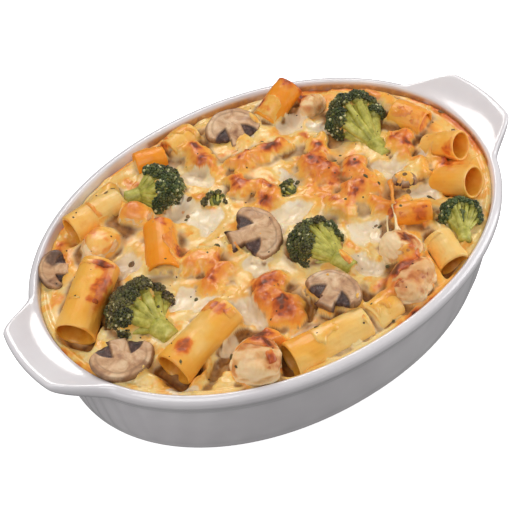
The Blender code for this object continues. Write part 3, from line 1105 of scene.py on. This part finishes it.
def ball(subdivisions):
    """Points and faces of a unit ball."""
    bm = bmesh.new()
    bmesh.ops.create_icosphere(bm, subdivisions=subdivisions, radius=1.0)
    points = np.array([v.co[:] for v in bm.verts])
    faces = [tuple(v.index for v in face.verts) for face in bm.faces]
    bm.free()
    return points, faces


BUD_BALL = ball(1)
SMALL_BALL = ball(2)


def branch(start, bend, stop, width_start, width_stop, sides=9, rows=9, flare=0.0):
    """A closed tapering stem along a bent line, wider towards its ends by the flare."""
    t = np.linspace(0, 1, rows)[:, None]
    line = (1 - t) ** 2 * start + 2 * t * (1 - t) * bend + t**2 * stop
    heading = unit(np.gradient(line, axis=0))
    side = unit(np.cross(heading, (0.31, 0.52, 0.79)))
    other = np.cross(heading, side)
    width = (width_start + (width_stop - width_start) * t) * (1 + flare * (2 * t - 1) ** 4)
    turn = np.arange(sides) * 2 * math.pi / sides
    ring = side[:, None] * np.cos(turn)[None, :, None] + other[:, None] * np.sin(turn)[None, :, None]
    points = (line[:, None] + ring * width[:, None]).reshape(-1, 3)
    uneven = np.stack([NOISE(points + k * 9, 4.0, 2) for k in range(3)], 1)
    points += 0.25 * np.linalg.norm(stop - start) / 12 * uneven
    return points, capped_faces(rows, sides)


def sphere_spread(count, rng, cap):
    """Nearly even directions over the part of a sphere around +X with cosine above cap."""
    i = np.arange(count) + 0.5
    lean = 1 - i / count * (1 - cap)
    turn = i * math.pi * (3 - math.sqrt(5)) + rng.uniform(0, 6.28)
    flat = np.sqrt(1 - lean**2)
    made = np.stack([lean, flat * np.cos(turn), flat * np.sin(turn)], 1)
    return unit(made + rng.normal(0, 0.05, made.shape))


def facing(direction):
    """Axes of a frame whose first axis is the direction."""
    side = unit(np.cross((0.2, 0.3, 0.93), direction))
    return np.stack([direction, side, np.cross(direction, side)])


def add_clump(soup, centre, size, outward, rng, brown, lighter=0.0):
    """One tight head of buds, pale beneath."""
    core_points, core_faces = SMALL_BALL
    soup.add(centre + core_points * size * 0.88, core_faces, bud=0.35, shade=0.3 + lighter, brown=brown)
    tone = rng.uniform(-0.12, 0.12) + lighter
    buds = int(3.3 * (size / BUD_RADIUS) ** 2)
    points, faces = BUD_BALL
    for spot in sphere_spread(buds, rng, -0.1) @ facing(outward):
        grow = BUD_RADIUS * rng.uniform(0.65, 1.25)
        place = centre + spot * size * rng.uniform(0.92, 1.08)
        shade = 0.34 + tone + rng.uniform(-0.22, 0.28) + 0.6 * (rng.random() < 0.07)
        soup.add(place + points * grow, faces, bud=1.0, shade=float(np.clip(shade, 0, 1)), brown=brown)


def add_stem_and_clump(soup, fork, growth, seat, face, direction, radius, size, rng, brown):
    """One branch of a floret, from the fork to its clump."""
    reach = radius * rng.uniform(0.94, 1.06) - size
    centre = seat + direction * reach - growth * radius * 0.2
    spread = direction - growth * (direction @ growth)
    bend = fork + (centre - fork) * 0.5 + spread * radius * 0.12
    soup.add(*branch(fork - growth * 2.0, bend, centre, radius * 0.15, size * 0.5))
    outward = unit(centre - fork) * 0.6 + direction * 0.4 + face * 0.1
    add_clump(soup, centre, size, unit(outward), rng, brown)


def add_cut_face(soup, fork, growth, seat, face, radius, rng):
    """The stems that show in a floret's cut face, fanned out and each with a few twigs."""
    side = np.cross(face, growth)
    for step in np.linspace(-1.15, 1.15, 9 if radius > LARGE_FLORET else 5):
        lean = step + rng.uniform(-0.12, 0.12)
        tip = seat + (growth * math.cos(lean) + side * math.sin(lean)) * radius * rng.uniform(0.5, 0.72)
        tip = tip + face * radius * rng.uniform(0.0, 0.14) - growth * radius * 0.2
        bend = fork + (tip - fork) * 0.5 + face * radius * 0.10 + side * math.sin(lean) * radius * 0.1
        soup.add(*branch(fork - growth, bend, tip, radius * 0.125, radius * 0.10))
        for _ in range(3):
            twig = tip + (growth * rng.uniform(0.1, 0.5) + side * rng.uniform(-0.3, 0.3)) * radius * 0.6
            soup.add(*branch(bend * 0.4 + tip * 0.6, tip, twig, radius * 0.075, radius * 0.05, 7, 7))
            add_clump(soup, twig, radius * rng.uniform(0.07, 0.13), growth, rng, 0.1, 0.25)


def make_floret(node, material, seed):
    """Half a floret, cut face up: a stalk that forks into stems, with tight buds round their tips."""
    heading, pitch, radius, brown, face_heading, bareness, slip_x, slip_y, longer = FLORETS[node]
    rng = np.random.default_rng(seed)
    solid = node_points(node)
    middle = middle_of(solid)
    middle[:2] += slip_x, slip_y
    turn, lift = math.radians(heading), math.radians(pitch)
    growth = np.array([math.cos(turn) * math.cos(lift), math.sin(turn) * math.cos(lift), math.sin(lift)])
    axes = facing(growth)
    along = (solid - middle) @ growth
    foot = middle + growth * (along.min() - longer)
    seat = middle + growth * (along.min() + CROWN_SHARE * np.ptp(along))
    fork = foot + growth * 0.30 * np.ptp(along)
    face_turn = math.radians(face_heading)
    face = np.array([FACE_FLAT * math.cos(face_turn), FACE_FLAT * math.sin(face_turn), FACE_RISE])
    soup = Soup("bud", "shade", "brown")
    bend = (foot + fork) / 2 + rng.normal(0, 0.5, 3)
    soup.add(*branch(foot, bend, fork, radius * 0.28, radius * 0.34, 16, 10))
    # The inner core is given dark bud colour, as painted shade in the gaps between the stems.
    core_points, core_faces = ball(4)
    shade_core = core_points * (1 + 0.3 * NOISE(core_points * radius + seed, 4.0, 3))[:, None] * radius * 0.6
    core_seat = seat - growth * radius * 0.2 - face * radius * 0.3
    soup.add(core_seat + shade_core, core_faces, bud=0.85, shade=0.3, brown=0.0)
    clumps = 50 if radius > LARGE_FLORET else 12
    for direction in sphere_spread(clumps, rng, -0.25) @ axes:
        if direction @ face > bareness + rng.uniform(-0.1, 0.1):
            continue
        size = radius * rng.uniform(0.17, 0.33)
        own_brown = float(np.clip(brown + rng.uniform(-0.25, 0.25), 0, 1))
        add_stem_and_clump(soup, fork, growth, seat, face, direction, radius, size, rng, own_brown)
    add_cut_face(soup, fork, growth, seat, face, radius, rng)
    return soup.build(node + "_florets", material, (node,))


# ---- mushrooms

# Heading of each slice's cap, its tip to the front, its width, its stalk's length in widths, and
# how much it has darkened.
SLICES = {
    "mushroom_front_left": (252, 10, 34, 0.30, 0.0),
    "mushroom_front": (28, 6, 31, 0.38, 0.1),
    "mushroom_centre": (-12, 12, 35, 0.44, 0.0),
    "mushroom_back": (75, 14, 34, 0.38, 0.1),
    "mushroom_left_rim": (150, 20, 24, 0.3, 0.85),
    "mushroom_right": (60, 10, 15, 0.3, 0.4),
}
SLICE_THICKNESS = 6.0
SLICE_PITCH = 0.45
SLICE_LEAST_HALF = 0.25


def slice_depth(a, b, stalk_length):
    """How deep each point lies inside a sliced cap and stalk one unit wide, and its gills."""
    rise = np.where(a > -0.02, 0.44, 0.22)
    cap = 0.5 * (1 - np.hypot((a + 0.02) / rise, b / 0.5))
    notch = 1 - np.hypot((a + 0.36) / 0.17, (np.abs(b) - 0.29) / 0.12)
    cap = np.minimum(cap, -notch * 0.15)
    stalk_width = 0.14 + 0.3 * np.clip(-a - 0.2, 0, 0.2)
    stalk = np.minimum(stalk_width - np.abs(b), np.minimum(a + stalk_length, 0.2 - a))
    crescent = 1 - np.hypot((a + 0.24) / 0.30, b / 0.42)
    gill = smoothstep(0.0, 0.10, crescent) * smoothstep(0.11, 0.16, np.abs(b))
    gill = gill * (1 - smoothstep(0.02, 0.1, a))
    return np.maximum(cap, stalk), gill


def two_sided(quads, count):
    """Faces of a closed plate: the quads above, the same below, and a wall along their outline."""
    edges = np.stack([quads, np.roll(quads, -1, axis=1)], -1).reshape(-1, 2)
    outline = edges[~np.isin(edges[:, 0] * count + edges[:, 1], edges[:, 1] * count + edges[:, 0])]
    start, stop = outline[:, 0], outline[:, 1]
    wall = np.column_stack([stop, start, start + count, stop + count])
    return np.concatenate([quads, (quads + count)[:, ::-1], wall]).tolist()


def slice_cells(inside):
    """Grid cells inside a slice, without stray ones that are in no block of four."""
    cells = inside[:-1, :-1] & inside[1:, :-1] & inside[1:, 1:] & inside[:-1, 1:]
    blocks = np.pad(cells[:-1, :-1] & cells[1:, :-1] & cells[1:, 1:] & cells[:-1, 1:], 1)
    return blocks[:-1, :-1] | blocks[1:, :-1] | blocks[1:, 1:] | blocks[:-1, 1:]


def make_slice(node, material):
    """A mushroom slice: rounded edges, sunk ridged gills, and a darker skin."""
    heading, tip, width, stalk_length, dark = SLICES[node]
    middle = middle_of(node_points(node))
    steps = np.arange(-0.56, 0.56, SLICE_PITCH / width)
    a, b = np.meshgrid(steps, steps, indexing="ij")
    depth, gill = slice_depth(a, b, stalk_length)
    wobble = 0.012 * NOISE(np.stack([a.ravel(), b.ravel(), 0 * a.ravel()], 1) * width + len(node), 5.0, 2)
    depth = depth + wobble.reshape(depth.shape)
    cells = slice_cells(depth > 0)
    padded = np.pad(cells, 1).astype(int)
    full = padded[:-1, :-1] + padded[1:, :-1] + padded[1:, 1:] + padded[:-1, 1:]
    used = full > 0
    border = used & (full < 4)
    number = -np.ones(used.shape, int)
    number[used] = np.arange(used.sum())
    slope_a, slope_b = np.gradient(depth, steps, steps)
    steep = np.hypot(slope_a, slope_b) ** 2 + 1e-6
    push = np.where(border, depth / steep, 0.0)
    a = a - np.clip(push * slope_a, -0.02, 0.02)
    b = b - np.clip(push * slope_b, -0.02, 0.02)
    edge = 1 - np.clip(depth * width / 2.0, 0, 1)
    half = SLICE_THICKNESS / 2 * np.sqrt(np.clip(1 - edge**2, 0.0, 1)) * ~border
    ridges = np.cos(90 * np.arctan2(b, a + 0.45))
    half = np.maximum(half - gill * (1.3 + 0.25 * ridges) * ~border, SLICE_LEAST_HALF)[used]
    flat = np.stack([a[used] * width, b[used] * width], 1)
    rough = 0.4 * NOISE(np.column_stack([flat, np.full(len(flat), 9.0 * len(node))]), 7.0, 3)
    above = np.column_stack([flat, half + rough * ~border[used]])
    points = np.concatenate([above, np.column_stack([flat, -half])])
    corners = [number[:-1, :-1], number[1:, :-1], number[1:, 1:], number[:-1, 1:]]
    faces = two_sided(np.stack([c[cells] for c in corners], 1), len(flat))
    turn = Matrix.Rotation(math.radians(tip), 3, "X") @ Matrix.Rotation(math.radians(heading), 3, "Z")
    points[:, 2] += 0.9 * np.cos(points[:, 0] / width * 2.6) * np.cos(points[:, 1] / width * 2.2) - 0.6
    points = points @ np.array(turn).T + middle
    piece = add_mesh(node + "_slice", points, faces, material, (node,))
    patches = dark * smoothstep(-0.3, 0.4, NOISE(points, 8.0, 3))
    set_mask(piece, "gill", np.maximum(np.tile(gill[used], 2), patches))
    skin = 1 - smoothstep(0.0, 0.06, depth[used])
    line = np.exp(-(((depth[used] - 0.115) / 0.014) ** 2)) * smoothstep(-0.15, 0.05, flat[:, 0] / width)
    skin = np.maximum(skin, 0.45 * line)
    set_mask(piece, "edge", np.tile(skin, 2))
    return piece


# ---- chicken


CHUNK_BALL = ball(6)
CHUNK_SMOOTHINGS = 4
# How far each chunk has slipped along x and y, and how much it has spread.
CHUNKS = {
    "chicken_right": (-3, -1, 1.13),
    "chicken_right_front": (-2, -1, 1.13),
    "chicken_front": (-1, 0, 1.06),
}


def make_chunk(node, material, seed):
    """A torn piece of chicken: the CAD chunk's facets softened, with lumps and fibres."""
    solid = node_points(node)
    middle = middle_of(solid)
    slip_x, slip_y, spread = CHUNKS.get(node, (0, 0, 1.0))
    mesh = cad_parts[node].data
    tree = BVHTree.FromPolygons(solid.tolist(), [tuple(face.vertices) for face in mesh.polygons])
    directions, faces = CHUNK_BALL
    reach = []
    for direction in directions:
        place, _, _, _ = tree.ray_cast(Vector(middle + direction * 100), Vector(-direction))
        reach.append((place - Vector(middle)).length * spread if place is not None else 8.0)
    bm = bmesh.new()
    slipped = middle + (slip_x, slip_y, 0)
    corners = [bm.verts.new(slipped + d * r) for d, r in zip(directions, reach)]
    for face in faces:
        bm.faces.new([corners[i] for i in face])
    for _ in range(CHUNK_SMOOTHINGS):
        bmesh.ops.smooth_vert(bm, verts=bm.verts, factor=0.5, **{"use_axis_" + axis: True for axis in "xyz"})
    bm.normal_update()
    points = np.array([v.co[:] for v in bm.verts])
    normals = np.array([v.normal[:] for v in bm.verts])
    bm.free()
    c, s = math.cos(seed * 0.9), math.sin(seed * 0.9)
    grain = points @ np.array([[c, -s, 0], [s, c, 0], [0, 0, 1]])
    fibres = NOISE(grain * (0.25, 1.0, 1.0) + seed * 13.0, 2.6, 2)
    folds = 1.8 * NOISE(points + seed * 31.0, 12.0, 2)
    torn = 0.8 * np.abs(NOISE(grain * (0.35, 1.0, 1.0) + seed * 17.0, 5.0, 2))
    lumps = folds + torn + 0.4 * fibres
    points = points + normals * lumps[:, None]
    chunk = add_mesh(node + "_meat", points, faces, material, (node,))
    upper = smoothstep(-0.1, 0.5, normals[:, 2])
    stripes = 0.5 * smoothstep(0.2, 0.7, NOISE(grain * (0.4, 1.0, 1.0) + seed * 3.0, 7.0, 2)) * upper
    set_mask(chunk, "toast", np.maximum(toast_at(points) * upper, stripes + 0.12))
    return chunk


# ---- scraps on top

PEPPER_PLACES = (
    (-75, 23), (-61, -20), (-35, 30), (-33, 2), (32, -64), (-67, -62), (63, -17), (59, -10),
    (-71, -73), (13, -93), (-24, -77), (56, 15), (30, 15), (74, -30), (82, -38), (47, -38), (47, -45),
)
# Darker bits of mushroom and herb that show through the cheese.
DARK_BITS = (
    (75, -28), (83, -40), (77, -22), (46, -36), (50, -43), (-62, 70), (-57, 71), (-80, 76),
    (-75, 23), (-33, 31), (-25, 42), (131, 12), (127, -4), (-92, 10), (-98, -56),
)
PEPPER_COUNT = 90
HERB_COUNT = 40


class Ground:
    """Finds the top of what has been made so far."""

    def __init__(self, pieces):
        self.tree = ray_tree(pieces)

    def drop(self, x, y):
        place, normal, _, _ = self.tree.ray_cast(Vector((x, y, 200)) * MM, Vector((0, 0, -1)))
        if place is None:
            return None, None
        return np.array(place) / MM, np.array(normal)


def random_places(count, rng):
    """Places spread evenly over the food."""
    made = []
    for _ in range(count):
        angle, share = rng.uniform(0, 2 * math.pi), math.sqrt(rng.uniform(0, 0.92))
        made.append((share * 132 * math.cos(angle), share * 95 * math.sin(angle)))
    return made


def scatter(name, places, sizes, flatness, ground, material, seed):
    """Small ragged bits lying on the food."""
    rng = np.random.default_rng(seed)
    soup = Soup()
    base_points, faces = ball(2)
    for x, y in places:
        place, normal = ground.drop(x, y)
        if place is None or normal[2] < 0.3:
            continue
        size = rng.uniform(*sizes)
        points = base_points * (1, rng.uniform(0.5, 1), flatness) * size
        points = points * rng.uniform(0.8, 1.2, points.shape)
        spin = Matrix.Rotation(rng.uniform(0, 6.28), 3, "Z")
        lean = Vector((0, 0, 1)).rotation_difference(Vector(normal)).to_matrix()
        points = points @ np.array(lean @ spin).T + place
        soup.add(points, faces)
    return soup.build(name, material)


# Cheese strings: from x, y, to x, y, thickness, how brown.
STRINGS = (
    (59, -35, 49, -51, 0.8, 0.16),
    (54, -36, 45, -48, 0.5, 0.16),
    (70, -19, 58, -36, 0.9, 0.46),
    (-20, 30, -12, 40, 0.5, 0.16),
)


def make_strings(material, ground):
    """Threads of stretched cheese, hung between neighbouring pieces or lying on them."""
    soup = Soup("toast", "cream", "deep")
    for x0, y0, x1, y1, width, brown in STRINGS:
        start, _ = ground.drop(x0, y0)
        stop, _ = ground.drop(x1, y1)
        if start is None or stop is None:
            continue
        middle = (start + stop) / 2
        below, _ = ground.drop(middle[0], middle[1])
        middle[2] = max(middle[2] - 1.0, 2 * below[2] - middle[2] + 1.0)
        points, faces = branch(start - (0, 0, 0.6), middle, stop - (0, 0, 0.6), width, width, 9, 24, 1.6)
        soup.add(points, faces, toast=brown, cream=0.8 if brown < 0.3 else 0.0)
    return soup.build("cheese_strings", material)


# ---- stage


def make_floor():
    bm = bmesh.new()
    bmesh.ops.create_grid(bm, x_segments=1, y_segments=1, size=6.0)
    mesh = bpy.data.meshes.new("floor")
    bm.to_mesh(mesh)
    bm.free()
    white = Shader("floor", Roughness=0.9, Base_Color=(0.95, 0.95, 0.95, 1))
    white.set(Emission_Color=(1, 1, 1, 1), Emission_Strength=0.75)
    mesh.materials.append(white.material)
    floor = add_object("floor", mesh)
    floor.visible_diffuse = False
    floor.visible_glossy = False


def add_light(name, place, aim, size, power, tint=(1, 1, 1)):
    light = bpy.data.lights.new(name, "AREA")
    light.size = size
    light.energy = power
    light.color = tint
    lamp = add_object(name, light)
    lamp.location = place
    lamp.rotation_euler = (Vector(aim) - Vector(place)).to_track_quat("-Z", "Y").to_euler()


def make_lights():
    add_light("key", (0.45, 0.95, 1.15), (0, 0, 0.05), 0.6, 9.2, (1.0, 0.98, 0.95))
    add_light("fill", (-0.62, -0.42, 1.38), (0, 0, 0.05), 0.9, 9.0)
    add_light("right", (1.2, -0.6, 0.45), (0, 0, 0.03), 0.9, 10.8)
    add_light("left", (-1.3, -0.3, 0.35), (0, 0, 0.03), 0.9, 4.0)
    world = bpy.data.worlds.new("world")
    world.use_nodes = True
    background = world.node_tree.nodes["Background"]
    background.inputs["Color"].default_value = (1, 1, 1, 1)
    background.inputs["Strength"].default_value = 0.17
    bpy.context.scene.world = world


def make_camera():
    data = bpy.data.cameras.new("camera")
    data.angle = math.radians(CAMERA_FIELD)
    data.clip_start = 0.01
    camera = add_object("camera", data)
    turn = Matrix.Rotation(math.radians(CAMERA_HEADING), 4, "Z")
    tilt = Matrix.Rotation(math.radians(90 - CAMERA_ELEVATION), 4, "X")
    roll = Matrix.Rotation(math.radians(CAMERA_ROLL), 4, "Z")
    camera.matrix_world = Matrix.Translation(Vector(CAMERA_PLACE) * MM) @ turn @ tilt @ roll
    bpy.context.scene.camera = camera


def set_view():
    settings = bpy.context.scene.view_settings
    settings.view_transform = "Standard"
    settings.look = "None"


def make_food():
    pasta, broccoli = pasta_material(), broccoli_material()
    mushroom, chicken = mushroom_material(), chicken_material()
    made = [(node, make_tube(node, pasta)) for node in nodes_named("rigatoni")]
    made += [(node, make_floret(node, broccoli, 40 + i)) for i, node in enumerate(nodes_named("broccoli"))]
    made += [(node, make_slice(node, mushroom)) for node in nodes_named("mushroom")]
    made += [(node, make_chunk(node, chicken, i + 1)) for i, node in enumerate(nodes_named("chicken"))]
    cheese = cheese_material()
    surface = make_surface([(piece, draped_share(node)) for node, piece in made], cheese)
    ground = Ground([surface] + [piece for _, piece in made])
    make_strings(cheese, ground)
    rng = np.random.default_rng(5)
    pepper = plain_material("pepper", (24, 14, 8), (70, 44, 26), 1.0, 0.6)
    herbs = plain_material("herbs", (60, 54, 24), (110, 100, 52), 1.5, 0.6)
    dark = plain_material("dark_bits", (92, 62, 30), (152, 114, 64), 2.0, 0.5)
    scatter("dark_bits", DARK_BITS, (1.3, 2.6), 0.22, ground, dark, 6)
    scatter("herb_bits", PEPPER_PLACES, (1.1, 1.9), 0.4, ground, herbs, 3)
    scatter("pepper_fine", random_places(PEPPER_COUNT, rng), (0.25, 0.6), 0.6, ground, pepper, 4)
    scatter("herb_flakes", random_places(HERB_COUNT, rng), (0.4, 1.0), 0.25, ground, herbs, 5)


def main():
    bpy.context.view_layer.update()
    make_camera()
    make_lights()
    make_floor()
    set_view()
    make_dish()
    make_food()


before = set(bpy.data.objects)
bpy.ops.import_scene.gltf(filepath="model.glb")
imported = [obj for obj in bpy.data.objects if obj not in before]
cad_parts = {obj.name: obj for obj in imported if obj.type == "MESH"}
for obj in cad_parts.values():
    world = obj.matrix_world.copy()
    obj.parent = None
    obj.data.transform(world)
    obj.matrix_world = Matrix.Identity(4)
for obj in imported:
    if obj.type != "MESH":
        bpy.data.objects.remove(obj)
main()
